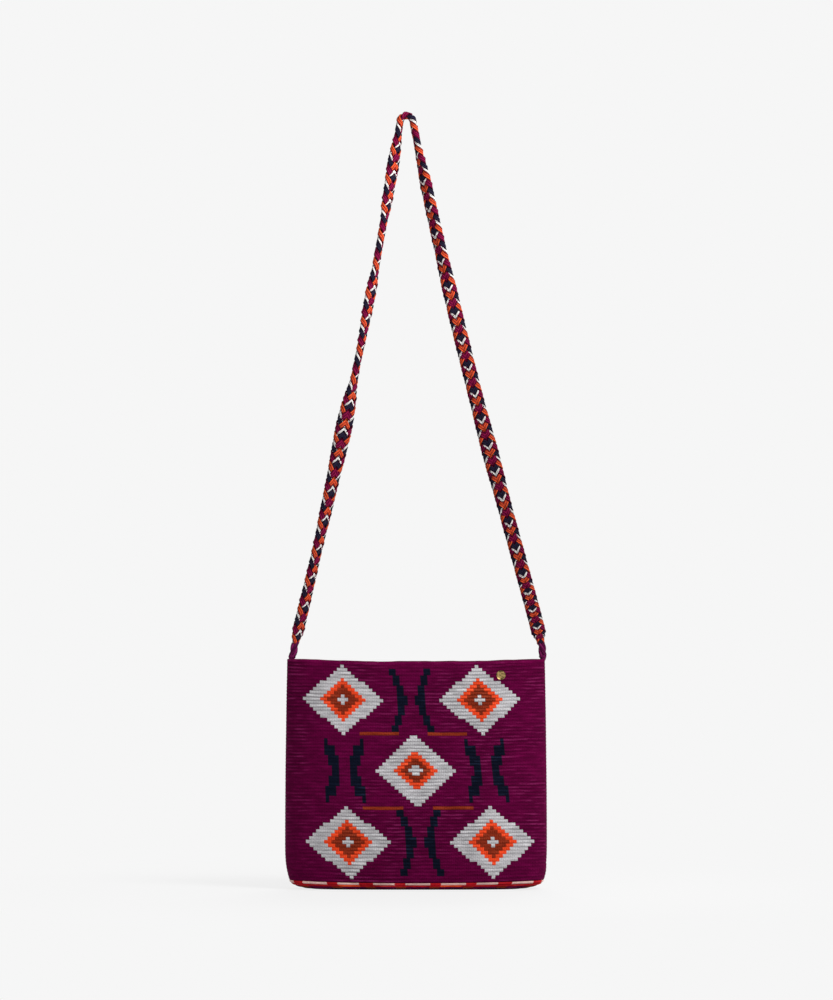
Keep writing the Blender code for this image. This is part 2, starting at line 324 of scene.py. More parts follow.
def new_material(name):
    """A material with its shader, as (material, tree, shader)."""
    made = bpy.data.materials.new(name)
    made.use_nodes = True
    tree = made.node_tree
    return made, tree, tree.nodes["Principled BSDF"]


def math_node(tree, operation, *values):
    return add_node(tree, "ShaderNodeMath", {"operation": operation}, dict(enumerate(values))).outputs[0]


def smooth_range(tree, value, low, high, to_low, to_high):
    """value eased from low..high to to_low..to_high."""
    links = {"Value": value, "From Min": low, "From Max": high, "To Min": to_low, "To Max": to_high}
    made = add_node(tree, "ShaderNodeMapRange", {"interpolation_type": "SMOOTHSTEP"}, links)
    return made.outputs["Result"]


def scale_colour(tree, colour, factor):
    """A colour times a grey factor."""
    links = {0: colour, "Scale": factor}
    return add_node(tree, "ShaderNodeVectorMath", {"operation": "SCALE"}, links).outputs["Vector"]


def mix_colours(tree, factor, first_hex, second_hex):
    """From the first colour, where factor is 0, to the second, where it is 1."""
    made = add_node(tree, "ShaderNodeMix", {"data_type": "RGBA"}, {"Factor": factor})
    first, second = [s for s in made.inputs if s.type == "RGBA"]
    first.default_value = linear(first_hex)
    second.default_value = linear(second_hex)
    return [s for s in made.outputs if s.type == "RGBA"][0]


def cotton_shader(shader, sheen, sheen_tint):
    """Mercerised cotton: nearly matt, with a thin soft sheen from its fibre ends, strongest at its edges."""
    shader.inputs["Roughness"].default_value = 0.85
    shader.inputs["IOR"].default_value = 1.45
    shader.inputs["Specular IOR Level"].default_value = 0.04
    shader.inputs["Sheen Weight"].default_value = sheen
    shader.inputs["Sheen Roughness"].default_value = 0.5
    shader.inputs["Sheen Tint"].default_value = sheen_tint


def fibre_height(tree, scale_mm):
    """Fine fibres on the yarn, drawn coarser than real ones so that they show."""
    place = add_node(tree, "ShaderNodeTexCoord").outputs["Object"]
    links = {"Vector": place, "Scale": 1 / (scale_mm * MM), "Detail": 3.0, "Roughness": 0.6}
    return add_node(tree, "ShaderNodeTexNoise", {}, links).outputs["Fac"]


def streaks_along_rows(tree):
    """A noise in streaks along the rows, which sets how bright each run of stitches is and where the crests
    get painted sheen.
    """
    place = add_node(tree, "ShaderNodeTexCoord").outputs["Object"]
    links = {0: place, 1: STREAK_SCALE}
    drawn_out = add_node(tree, "ShaderNodeVectorMath", {"operation": "MULTIPLY"}, links)
    links = {"Vector": drawn_out.outputs["Vector"], "Scale": 1.0, "Detail": 2.0}
    return add_node(tree, "ShaderNodeTexNoise", {}, links).outputs["Fac"]


def painted_light_patches(tree):
    """Patches, about as broad as two fingers, where the painted shade in the grooves and the painted sheen
    on the crests are fainter.
    """
    place = add_node(tree, "ShaderNodeTexCoord").outputs["Object"]
    links = {"Vector": place, "Scale": PATCH_SCALE, "Detail": 1.0}
    return add_node(tree, "ShaderNodeTexNoise", {}, links).outputs["Fac"]


def crochet_cotton(name, hex_colour, sheen_and_painted_sheen_hex):
    """Cotton worked in close single crochet. Its stitches show as small V shapes in ribbed rows.

    Its grooves and the gaps beside its stitch legs get painted shade, fainter in patches, and its crests get
    a painted sheen in streaks.
    The mesh holds the rows' ribs; its UV map counts stitches across and rows up.
    """
    made, tree, shader = new_material(name)
    cotton_shader(shader, CROCHET_SHEEN, linear(sheen_and_painted_sheen_hex))
    spot = add_node(tree, "ShaderNodeSeparateXYZ", {}, {0: add_node(tree, "ShaderNodeUVMap").outputs[0]})
    # The two legs of each stitch lean apart upwards
    across = math_node(tree, "FRACT", spot.outputs["X"])
    up = math_node(tree, "FRACT", spot.outputs["Y"])
    from_middle = math_node(tree, "ABSOLUTE", math_node(tree, "SUBTRACT", across, 0.5))
    leg = math_node(tree, "MULTIPLY_ADD", up, 0.26, 0.12)
    off_leg = math_node(tree, "ABSOLUTE", math_node(tree, "SUBTRACT", from_middle, leg))
    leg_height = smooth_range(tree, off_leg, 0.02, 0.20, 1.0, 0.0)
    fibres = fibre_height(tree, 0.9)
    height = math_node(tree, "MULTIPLY_ADD", fibres, 0.8, leg_height)
    bump = add_node(tree, "ShaderNodeBump", {}, {"Height": height, "Strength": 0.6, "Distance": 0.35 * MM})
    tree.links.new(bump.outputs["Normal"], shader.inputs["Normal"])
    # Painted shade: the grooves between rows are painted darker, less so in patches, and so are the gaps
    # beside the stitch legs
    off_crest = math_node(tree, "ABSOLUTE", math_node(tree, "SUBTRACT", up, 0.5))
    faint_painted_light = smooth_range(tree, painted_light_patches(tree), 0.38, 0.62, 0.0, 1.0)
    groove_shade = math_node(tree, "MULTIPLY_ADD", faint_painted_light, 0.32, 0.58)
    groove = smooth_range(tree, off_crest, 0.15, 0.5, 1.0, groove_shade)
    leg_shade = math_node(tree, "MULTIPLY_ADD", leg_height, 0.10, 0.93)
    tone = add_node(tree, "ShaderNodeAttribute", {"attribute_name": "tone"}).outputs["Fac"]
    shade = math_node(tree, "MULTIPLY", math_node(tree, "MULTIPLY", groove, leg_shade), tone)
    # The runs of stitches are lighter and darker in streaks along the rows, and the crests in the paler
    # streaks get a painted sheen, fainter in the patches
    streaks = streaks_along_rows(tree)
    streak_brightness = math_node(tree, "MULTIPLY", smooth_range(tree, streaks, 0.32, 0.70, 0.84, 1.20), shade)
    crest = smooth_range(tree, off_crest, 0.08, 0.34, 1.0, 0.0)
    painted_sheen = math_node(tree, "MULTIPLY", smooth_range(tree, streaks, 0.44, 0.68, 0.0, 0.13), crest)
    painted_sheen = math_node(tree, "MULTIPLY", painted_sheen, math_node(tree, "MULTIPLY_ADD", faint_painted_light, -0.85, 1.0))
    fibre_shade = math_node(tree, "MULTIPLY_ADD", fibres, 0.36, 0.82)
    colour = mix_colours(tree, painted_sheen, hex_colour, sheen_and_painted_sheen_hex)
    shaded = scale_colour(tree, colour, math_node(tree, "MULTIPLY", streak_brightness, fibre_shade))
    tree.links.new(shaded, shader.inputs["Base Color"])
    return made


def painted_light_across_and_up(tree):
    """Painted light on the plied yarns of the strap and the tabs: their left half and their upper part are
    painted paler.
    """
    place = add_node(tree, "ShaderNodeTexCoord").outputs["Object"]
    spot = add_node(tree, "ShaderNodeSeparateXYZ", {}, {0: place})
    by_side = smooth_range(tree, spot.outputs["X"], *PAINTED_LIGHT_ACROSS)
    by_height = smooth_range(tree, spot.outputs["Z"], *PAINTED_LIGHT_UP)
    return math_node(tree, "MULTIPLY", by_side, by_height)


def plied_cotton(name, deep_hex, light_hex, sheen_hex):
    """Loosely plied cotton yarn in two dye lots, with thin slanting painted shadows along its plies and
    painted shade on its sides.

    The mesh's UV map goes once round the yarn from one side, and counts ply turns along it.
    """
    made, tree, shader = new_material(name)
    cotton_shader(shader, PLIED_SHEEN, linear(sheen_hex))
    spot = add_node(tree, "ShaderNodeSeparateXYZ", {}, {0: add_node(tree, "ShaderNodeUVMap").outputs[0]})
    turn = math_node(tree, "ADD", spot.outputs["X"], spot.outputs["Y"])
    ply = math_node(tree, "FRACT", math_node(tree, "MULTIPLY", turn, PLIES))
    off_ply = math_node(tree, "ABSOLUTE", math_node(tree, "SUBTRACT", ply, 0.5))
    ply_height = smooth_range(tree, off_ply, 0.1, 0.5, 1.0, 0.0)
    fibres = fibre_height(tree, 0.7)
    height = math_node(tree, "MULTIPLY_ADD", fibres, 0.6, ply_height)
    bump = add_node(tree, "ShaderNodeBump", {}, {"Height": height, "Strength": 0.7, "Distance": 0.3 * MM})
    tree.links.new(bump.outputs["Normal"], shader.inputs["Normal"])
    # Painted shade on the yarn's sides, where it meets its neighbours, and painted shadow along its ply
    # grooves
    half_turn = math_node(tree, "FRACT", math_node(tree, "MULTIPLY", spot.outputs["X"], 2.0))
    off_front = math_node(tree, "ABSOLUTE", math_node(tree, "SUBTRACT", half_turn, 0.5))
    side = smooth_range(tree, off_front, 0.10, 0.40, 1.0, 0.42)
    ply_shade = math_node(tree, "MULTIPLY_ADD", ply_height, 0.26, 0.80)
    # All of the yarn's painted shade and painted light, together
    shade = math_node(tree, "MULTIPLY", math_node(tree, "MULTIPLY", side, ply_shade), painted_light_across_and_up(tree))
    fibre_shade = math_node(tree, "MULTIPLY_ADD", fibres, 0.5, 0.75)
    dye = add_node(tree, "ShaderNodeAttribute", {"attribute_name": "dye"}).outputs["Fac"]
    colour = mix_colours(tree, dye, deep_hex, light_hex)
    shaded = scale_colour(tree, colour, math_node(tree, "MULTIPLY", shade, fibre_shade))
    tree.links.new(shaded, shader.inputs["Base Color"])
    return made


def stamped_brass():
    """Stamped and tumbled brass: a warm mirror broken by fine scuffs, darker where it has tarnished."""
    made, tree, shader = new_material("tumbled_brass")
    place = add_node(tree, "ShaderNodeTexCoord").outputs["Object"]
    links = {"Vector": place, "Scale": 1 / (0.5 * MM), "Detail": 4.0}
    scuffs = add_node(tree, "ShaderNodeTexNoise", {}, links).outputs["Fac"]
    links = {"Vector": place, "Scale": 1 / (3.0 * MM), "Detail": 2.0}
    tarnish = add_node(tree, "ShaderNodeTexNoise", {}, links).outputs["Fac"]
    bare = smooth_range(tree, tarnish, 0.36, 0.60, 0.0, 1.0)
    tree.links.new(mix_colours(tree, bare, TARNISHED_BRASS, BARE_BRASS), shader.inputs["Base Color"])
    tree.links.new(smooth_range(tree, scuffs, 0.3, 0.7, 0.24, 0.42), shader.inputs["Roughness"])
    bump = add_node(tree, "ShaderNodeBump", {}, {"Height": scuffs, "Strength": 0.25, "Distance": 0.08 * MM})
    tree.links.new(bump.outputs["Normal"], shader.inputs["Normal"])
    shader.inputs["Metallic"].default_value = 1.0
    return made


# Meshes from bent grids


def bent_grid(across, along, place, uv_of):
    """A grid of across by along faces, bent by place(u, v), with uv_of(u, v) as its UV map.

    u and v are arrays that count the grid's points each way. With the mesh come each face's lowest ones.
    """
    bm = bmesh.new()
    bmesh.ops.create_grid(bm, x_segments=across, y_segments=along, size=0.5)
    mesh = bpy.data.meshes.new("bent_grid")
    bm.to_mesh(mesh)
    bm.free()
    flat = np.empty(len(mesh.vertices) * 3, np.float32)
    mesh.vertices.foreach_get("co", flat)
    u = np.rint((flat[0::3] + 0.5) * across).astype(int)
    v = np.rint((flat[1::3] + 0.5) * along).astype(int)
    corners = np.empty(len(mesh.loops), int)
    mesh.loops.foreach_get("vertex_index", corners)
    faces = corners.reshape(-1, 4)
    u_low, v_low = u[faces].min(axis=1), v[faces].min(axis=1)
    values = uv_of(u[corners], v[corners])
    layer = mesh.uv_layers.new(name="UVMap")
    layer.data.foreach_set("uv", np.stack(values, axis=1).astype(np.float32).ravel())
    mesh.vertices.foreach_set("co", place(u, v).astype(np.float32).ravel())
    return mesh, u_low, v_low


def finish_piece(name, mesh, materials, fill_ends=False, left_out=()):
    """Closes a mesh's seams, turns its faces outwards and gives it to an object at the origin.

    left_out holds the numbers of the faces that are left out of it.
    """
    bm = bmesh.new()
    bm.from_mesh(mesh)
    bm.faces.ensure_lookup_table()
    bmesh.ops.delete(bm, geom=[bm.faces[i] for i in left_out], context="FACES_ONLY")
    bmesh.ops.remove_doubles(bm, verts=bm.verts, dist=SAME_POINT)
    if fill_ends:
        bmesh.ops.holes_fill(bm, edges=[e for e in bm.edges if e.is_boundary], sides=0)
    bmesh.ops.recalc_face_normals(bm, faces=bm.faces)
    bm.to_mesh(mesh)
    bm.free()
    mesh.name = name
    for made in materials:
        mesh.materials.append(made)
    mesh.shade_smooth()
    piece = bpy.data.objects.new(name, mesh)
    bpy.context.scene.collection.objects.link(piece)
    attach(piece, "root")
    return piece


# The bag's form


def swell(height, bottom, belly, rim):
    """A size of the tube at a height: it grows from the bottom to the belly, then eases in to the rim."""
    left = np.clip((BELLY_HEIGHT - height) / (BELLY_HEIGHT - TUBE_FOOT), 0, 1)
    above = np.clip((height - BELLY_HEIGHT) / (RIM_HEIGHT - BELLY_HEIGHT), 0, 1)
    return belly + (bottom - belly) * left**3 + (rim - belly) * (1 - np.cos(above * math.pi / 2))


def even_outline(half_width, half_depth, squareness, shares):
    """Points of a superellipse at shares of its length, from the middle of the back, by +X to the front."""
    angle = np.linspace(0, math.tau, OUTLINE_SAMPLES + 1) + math.pi / 2
    c, s = np.cos(angle), np.sin(angle)
    x = -half_width * np.sign(c) * np.abs(c) ** (2 / squareness)
    y = half_depth * np.sign(s) * np.abs(s) ** (2 / squareness)
    run = np.concatenate([[0], np.cumsum(np.hypot(np.diff(x), np.diff(y)))])
    wanted = np.asarray(shares) * run[-1]
    return np.interp(wanted, run, x), np.interp(wanted, run, y)


def waves(x, z, seed):
    """A gentle unevenness from -1 to 1, the same each run, about a hand's width from swell to swell."""
    a, b, c = seed * 1.7, seed * 2.9, seed * 0.6
    first = np.sin(31 * x + 17 * z + a) * np.cos(23 * z - 9 * x + b)
    second = np.sin(57 * x - 41 * z + c) * np.cos(47 * z + 19 * x + a)
    return 0.65 * first + 0.35 * second


def settled(points):
    """How the bag stands: its seam sinks in the middle, and its right lower corner is fuller."""
    x, height = points[:, 0], points[:, 2]
    middle = np.clip(1 - (np.abs(x) / (BOTTOM_WIDTH / 2)) ** 2, 0, 1)
    above = np.clip((height - BASE_RISE) / SEAM_SINK_REACH, 0, 1)
    near_seam = np.clip(height / BASE_RISE, 0, 1) * (1 - above * above * (3 - 2 * above))
    to_corner = np.clip((x / (BOTTOM_WIDTH / 2) - CORNER_FILL_START) / (1 - CORNER_FILL_START), 0, 1)
    low = np.clip((CORNER_FILL_REACH - height) / CORNER_FILL_REACH, 0, 1)
    fill = CORNER_FILL * to_corner * np.sin(math.pi * low) ** CORNER_FILL_CURVE
    return np.stack([x + fill, points[:, 1], height - SEAM_SINK * middle * near_seam], axis=1)


def body_points(shares, height, inset, groove=0.0):
    """Points of the tube at shares of its length round, at one height, moved in by inset.

    groove is how deep they lie between two rows. The grooves are pulled flatter at the bag's two sides.
    """
    half_width = swell(height, BOTTOM_WIDTH, BELLY_WIDTH, RIM_WIDTH) / 2
    half_depth = swell(height, BOTTOM_DEPTH, BELLY_DEPTH, RIM_DEPTH) / 2
    share = np.clip((height - TUBE_FOOT) / TUBE_HEIGHT, 0, 1)
    squareness = BOTTOM_SQUARENESS + (RIM_SQUARENESS - BOTTOM_SQUARENESS) * share
    # The stitches of crochet worked in the round lean a little from row to row
    leant = shares + STITCH_LEAN * (height - RIM_HEIGHT / 2) / (2 * BELLY_WIDTH)
    x, y = even_outline(half_width, half_depth, squareness, leant % 1.0)
    ahead = even_outline(half_width, half_depth, squareness, (leant + EDGE_STEP) % 1.0)
    behind = even_outline(half_width, half_depth, squareness, (leant - EDGE_STEP) % 1.0)
    dx, dy = ahead[0] - behind[0], ahead[1] - behind[1]
    length = np.hypot(dx, dy)
    out_x, out_y = -dy / length, dx / length
    middle = np.clip(1 - (np.abs(x) / (RIM_WIDTH / 2)) ** 2, 0, 1)
    side = np.where(y < 0, 1.0, BACK_UNEVENNESS)
    # The tube's foot keeps its line, so that it meets the base
    calm = np.clip(share / CALM_FOOT, 0, 1)
    uneven = UNEVENNESS * waves(x, height, 1.0) * np.abs(out_y) * calm * side
    sag = RIM_SAG * share**2 * middle
    wander = ROW_WANDER * waves(1.6 * x, 1.3 * height, 3.0)
    lift = wander + ROW_RIPPLE * waves(6.1 * x, 7.3 * height, 5.0 + 3 * (y > 0))
    groove_left = groove * (1 - EDGE_GROOVE_LOSS * np.abs(out_x))
    moved = uneven + EDGE_SWELL * np.abs(out_x) * calm - inset - groove_left
    return settled(np.stack([x + out_x * moved, y + out_y * moved, height - sag + lift * calm], axis=1))


# The pattern, in stitches round from the middle of the front and rows up from the base.
# Stepped diamonds stand in staggered bands, with a pair of stepped bars between each two,
# and the back is worked like the front.

PLUM, UNDYED, ORANGE, RUST, NAVY, RED, BLUSH = range(7)
SIDE_PLACE = 19.5
DIAMONDS = ((11, -SIDE_PLACE), (11, SIDE_PLACE), (32, 0), (53, -SIDE_PLACE), (53, SIDE_PLACE))
BAR_PAIRS = ((11, 0), (32, -SIDE_PLACE), (32, SIDE_PLACE), (53, 0))
THIN_LINES = (21, 43)
THIN_LINE_REACH = 5.6
RIM_ROW = ROWS - 1
# How many stitches each band of a diamond reaches from its centre, and how many a row counts for
DIAMOND_BANDS = ((1.6, UNDYED), (4.4, RUST), (6.4, ORANGE), (11.2, UNDYED))
DIAMOND_ROW = 1.04
# A bar's distance from the pair's middle, and the steps outwards: (rows from the middle, stitches)
BAR_PLACE = 2.4
BAR_STEPS = ((1, 0.7), (4, 0.8), (7, 1.0))
BAR_REACH = 9
BAR_TIP = 8
BAR_HALF_WIDTH = 1.3
BAR_TIP_HALF_WIDTH = 0.8

# The base's rings from its edge in: (the first yarn's share of each block, the first yarn, the second).
# In the ring SPARSE_RING only every third block has the second yarn.
BASE_BLOCKS = 16
BASE_BLOCK_SHIFT = 2.6
SPARSE_RING = 1
SPARSE_BLOCKS = 3
BASE_RINGS = (
    (0.34, RED, BLUSH),
    (0.36, RED, ORANGE),
    # This ring's rust and plum are darker than the pattern alone needs: partly painted shade where the base
    # turns under
    (0.30, RUST, PLUM),
    (0.60, NAVY, PLUM),
    (1.00, PLUM, PLUM),
    (0.50, UNDYED, RED),
    (0.40, UNDYED, RED),
    (0.50, ORANGE, RED),
    (1.00, NAVY, NAVY),
    (1.00, ORANGE, ORANGE),
)


def diamond_colour(off, rise):
    """A stepped nested diamond, with its centre at 0, 0. None is outside it."""
    reach = abs(off) + abs(rise) * DIAMOND_ROW
    for band, colour in DIAMOND_BANDS:
        if reach <= band:
            return colour
    return None


def bar_colour(off, rise):
    """A pair of navy bars between two diamonds, which bend apart at their ends. None is outside them."""
    if abs(rise) > BAR_REACH:
        return None
    apart = sum((step for rows, step in BAR_STEPS if abs(rise) > rows), BAR_PLACE)
    half_width = BAR_HALF_WIDTH if abs(rise) < BAR_TIP else BAR_TIP_HALF_WIDTH
    return NAVY if abs(abs(off) - apart) <= half_width else None


def body_colour(stitch, row):
    """The yarn of a stitch."""
    half = STITCHES / 2
    place = (stitch + half / 2) % half - half / 2
    for motifs, colour_of in ((DIAMONDS, diamond_colour), (BAR_PAIRS, bar_colour)):
        for middle, shift in motifs:
            found = colour_of(place - shift, row - middle)
            if found is not None:
                return found
    from_motif = abs(abs(place) - SIDE_PLACE / 2)
    return RUST if row in THIN_LINES and from_motif < THIN_LINE_REACH else PLUM


def base_colour(stitch, ring):
    """The yarn of a stitch of the base. ring counts in from the edge."""
    block = (stitch - BASE_BLOCK_SHIFT) * BASE_BLOCKS / STITCHES
    share, first, second = BASE_RINGS[ring]
    if ring == SPARSE_RING and int(block) % SPARSE_BLOCKS:
        second = first
    return first if block % 1.0 < share else second


def colour_faces(mesh, u_low, v_low, place_of, colour_of, seed):
    """Gives each face its stitch's yarn, and each stitch a slightly different tone.

    place_of gives the stitch and the row of a face, by its column and its level.
    """
    rng = np.random.default_rng(seed)
    tones = rng.uniform(*TONE_RANGE, (STITCHES * 2, TONE_ROWS)).astype(np.float32)
    chosen = np.empty(len(u_low), int)
    tone = np.empty(len(u_low), np.float32)
    known = {}
    for i, (column, level) in enumerate(zip(u_low, v_low)):
        stitch, row = place_of(column, level)
        if (stitch, row) not in known:
            known[stitch, row] = colour_of(stitch, row)
        chosen[i] = known[stitch, row]
        rim = RIM_TONE if row == RIM_ROW else 1
        tone[i] = tones[int(stitch * 2) % (STITCHES * 2), row % TONE_ROWS] * rim
    mesh.polygons.foreach_set("material_index", chosen)
    layer = mesh.attributes.new("tone", "FLOAT", "FACE")
    layer.data.foreach_set("value", tone)


def stitch_of(column):
    """The stitch that a column of faces belongs to, by its middle."""
    return column // COLUMNS_PER_STITCH + 0.5


def crochet_grid(rings, rows):
    """A closed skin over rings of points. rows holds, for each ring, where it lies in rows of crochet."""
    stacked = np.stack(rings + rings[:1])
    stacked[:, -1] = stacked[:, 0]
    rows = np.array(rows + [rows[-1] + 1])
    return bent_grid(
        COLUMNS,
        len(rings),
        lambda u, v: stacked[v, u],
        lambda u, v: (u / COLUMNS_PER_STITCH, rows[v]),
    )


def between_stitches(ring, lower):
    """A ring with every second point from a lower one, so that each stitch stands out."""
    crest = np.arange(COLUMNS + 1) % 2
    return np.where(crest[:, None] == 1, ring, lower)


def make_body(yarns):
    """The crocheted tube: ribbed rows outside, a rounded rim, and the same pattern without ribs inside."""
    outside = ROWS * LEVELS_PER_ROW
    shares = np.linspace(0, 1, COLUMNS + 1)
    rings, rows = [], []
    for level in range(outside + 1):
        height = TUBE_FOOT + TUBE_HEIGHT * level / outside
        groove = ROW_RELIEF * (ROW_PROFILE[level % LEVELS_PER_ROW] if level < outside else RIM_GROOVE)
        ring = body_points(shares, height - (RIM_DIP if level == outside else 0), 0, groove)
        if level % LEVELS_PER_ROW:
            ring = between_stitches(ring, body_points(shares, height, STITCH_RELIEF, groove))
        rings.append(ring)
        rows.append(level / LEVELS_PER_ROW)
    for k in range(RIM_LEVELS):
        angle = math.pi * (k + 1) / (RIM_LEVELS + 1)
        inset = FABRIC / 2 - (FABRIC / 2 - RIM_EDGE_INSET) * math.cos(angle)
        height = RIM_HEIGHT - RIM_ROUNDING + RIM_ROUNDING * math.sin(angle)
        rings.append(body_points(shares, height, inset))
        rows.append(ROWS + (k + 1) / (RIM_LEVELS + 1))
    for k in range(INSIDE_LEVELS + 1):
        height = RIM_HEIGHT - INSIDE_DROP - (TUBE_HEIGHT - INSIDE_DROP) * k / INSIDE_LEVELS
        rings.append(body_points(shares, height, FABRIC + (INSIDE_RIPPLE if k % 2 else 0)))
        rows.append(ROWS + 1 + ROWS * k / INSIDE_LEVELS)
    mesh, u_low, v_low = crochet_grid(rings, rows)

    def place_of(column, level):
        if level < outside:
            row = int(level // LEVELS_PER_ROW)
        elif level < outside + RIM_LEVELS + 1:
            row = RIM_ROW
        else:
            share = (level - outside - RIM_LEVELS - 1) / INSIDE_LEVELS
            row = int(max(0, RIM_ROW - round(share * RIM_ROW)))
        return float(stitch_of(column) - STITCHES / 2), row

    colour_faces(mesh, u_low, v_low, place_of, body_colour, BODY_SEED)
    piece = finish_piece("crochet_body", mesh, yarns)
    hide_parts("bag_body")
    return piece


def base_points(shares, drop, inset, relief):
    """Points of the base. drop runs from 0 at its edge to 1 where the underside turns flat."""
    lean = 1 - math.cos(drop * math.pi / 2)
    fall = math.sin(drop * math.pi / 2)
    half_width = BOTTOM_WIDTH / 2 - BASE_END_CURVE * lean - inset - relief * (1 - fall)
    half_depth = BOTTOM_DEPTH / 2 - BASE_SIDE_CURVE * lean - inset - relief * (1 - fall)
    half_depth = max(half_depth, SEAM_HALF_WIDTH)
    x, y = even_outline(half_width, half_depth, BOTTOM_SQUARENESS, shares)
    height = BASE_RISE * (1 - fall) + relief * fall
    return settled(np.stack([x, y, height + 0 * x], axis=1))


def make_base(yarns):
    """The base: rings of stitches from the tube's foot round the curve and in to the middle seam."""
    shares = np.linspace(0, 1, COLUMNS + 1)
    curve = BASE_CURVE_ROWS * LEVELS_PER_ROW
    flat = BASE_FLAT_ROWS * LEVELS_PER_ROW
    flat_reach = BOTTOM_DEPTH / 2 - BASE_SIDE_CURVE
    rings, rows = [], []
    for level in range(curve + flat + 1):
        relief = BASE_ROW_RELIEF * ROW_PROFILE[level % LEVELS_PER_ROW]
        drop = min(1.0, level / curve)
        inset = flat_reach * max(0, level - curve) / flat
        ring = base_points(shares, drop, inset, relief)
        if level % LEVELS_PER_ROW and level < curve + flat - LEVELS_PER_ROW:
            ring = between_stitches(ring, base_points(shares, drop, inset, relief + STITCH_RELIEF))
        rings.append(ring)
        rows.append(level / LEVELS_PER_ROW)
    for k in range(BASE_INSIDE_LEVELS + 1):
        share = 1 - k / BASE_INSIDE_LEVELS
        if share > 0.5:
            inset = flat_reach * (share - 0.5) * 2
            ring = base_points(shares, 1.0, min(inset + FABRIC, flat_reach), 0)
        else:
            ring = base_points(shares, share * 2, FABRIC, 0)
        ring[:, 2] += FABRIC * min(1.0, share * 2)
        rings.append(ring)
        rows.append((1 + share) * (BASE_CURVE_ROWS + BASE_FLAT_ROWS))
    outside = curve + flat
    mesh, u_low, v_low = crochet_grid(rings, rows)

    def place_of(column, level):
        ring = int(level // LEVELS_PER_ROW) if level < outside else len(BASE_RINGS) - 1
        return float(stitch_of(column)), ring

    colour_faces(mesh, u_low, v_low, place_of, base_colour, BASE_SEED)
    # Each skin closes by itself along the middle seam, so the faces that would join the two go
    between = np.flatnonzero(v_low == outside)
    piece = finish_piece("crochet_base", mesh, yarns, left_out=between)
    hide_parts("base_panel")
    return piece


# The strap's route, as the part's own source lays it


def peg_centre():
    return Vector((PEG_SIDE_SHIFT, STRAP_TOP - STRAP_THICKNESS / 2 - PEG_BEND_RADIUS))


def corner_point(side):
    return Vector((side * (RIM_WIDTH / 2 - TAB_INSET[side]), RIM_HEIGHT + SEAT_GAP))


def tab_direction(side):
    pull = peg_centre() - corner_point(side)
    lean = TAB_GIVE[side] * math.atan2(pull.x, pull.y)
    return Vector((math.sin(lean), math.cos(lean)))


def tab_tip(side):
    return corner_point(side) + tab_direction(side) * TAB_HEIGHT


def leg(side):
    """A leg of the strap from its tab to the bend, and the angle where it meets the bend."""
    centre = peg_centre()
    start = tab_tip(side) + tab_direction(side) * SEAT_GAP
    along = (centre - start).normalized()
    inwards = Vector((-side * along.y, side * along.x))
    first_pull = start + tab_direction(side) * STRAP_FOOT_RUN
    second_pull = start.lerp(centre, 0.5) + inwards * 2 * STRAP_BOW
    back = second_pull - centre
    turn = side * math.acos(PEG_BEND_RADIUS / back.length)
    angle = math.atan2(back.y, back.x) + turn
    end = centre + PEG_BEND_RADIUS * Vector((math.cos(angle), math.sin(angle)))
    points = []
    for i in range(LEG_POINTS):
        t = i / LEG_POINTS
        u = 1 - t
        points.append(start * u**3 + first_pull * 3 * t * u**2 + second_pull * 3 * t**2 * u + end * t**3)
    return points, angle % math.tau


def strap_route():
    """The strap's centre line from its right end, over the peg, to its left end, as an array."""
    right, right_angle = leg(1)
    left, left_angle = leg(-1)
    centre = peg_centre()
    angles = np.linspace(right_angle, left_angle, BEND_POINTS)
    bend = [centre + PEG_BEND_RADIUS * Vector((math.cos(a), math.sin(a))) for a in angles]
    return np.array([tuple(p) for p in right + bend + left[::-1]])


ROUTE = strap_route()
ROUTE_RUN = np.concatenate([[0], np.cumsum(np.hypot(*np.diff(ROUTE, axis=0).T))])
STRAP_LENGTH = ROUTE_RUN[-1]


def eased(shares, table):
    """The values of a table of (place, value) at shares, eased between its places."""
    places = np.array([p for p, _ in table])
    values = np.array([v for _, v in table], float)
    i = np.clip(np.searchsorted(places, shares) - 1, 0, len(places) - 2)
    t = np.clip((shares - places[i]) / (places[i + 1] - places[i]), 0, 1)
    return values[i] + (values[i + 1] - values[i]) * t * t * (3 - 2 * t)


def strap_axes(run):
    """At distances along the strap: its middle, its wide way, and the way that its front looks."""
    x = np.interp(run, ROUTE_RUN, ROUTE[:, 0])
    z = np.interp(run, ROUTE_RUN, ROUTE[:, 1])
    ahead = np.clip(run + DIRECTION_STEP, 0, STRAP_LENGTH)
    behind = np.clip(run - DIRECTION_STEP, 0, STRAP_LENGTH)
    dx = np.interp(ahead, ROUTE_RUN, ROUTE[:, 0]) - np.interp(behind, ROUTE_RUN, ROUTE[:, 0])
    dz = np.interp(ahead, ROUTE_RUN, ROUTE[:, 1]) - np.interp(behind, ROUTE_RUN, ROUTE[:, 1])
    length = np.hypot(dx, dz)
    dx, dz = dx / length, dz / length
    zero = np.zeros_like(run)
    turn = np.radians(eased(run / STRAP_LENGTH, STRAP_TWIST))[:, None]
    flat = np.stack([dz, zero, -dx], axis=1)
    towards = np.stack([zero, zero - 1, zero], axis=1)
    middle = np.stack([x, zero, z], axis=1)
    wide = flat * np.cos(turn) + towards * np.sin(turn)
    front = towards * np.cos(turn) - flat * np.sin(turn)
    return middle, wide, front


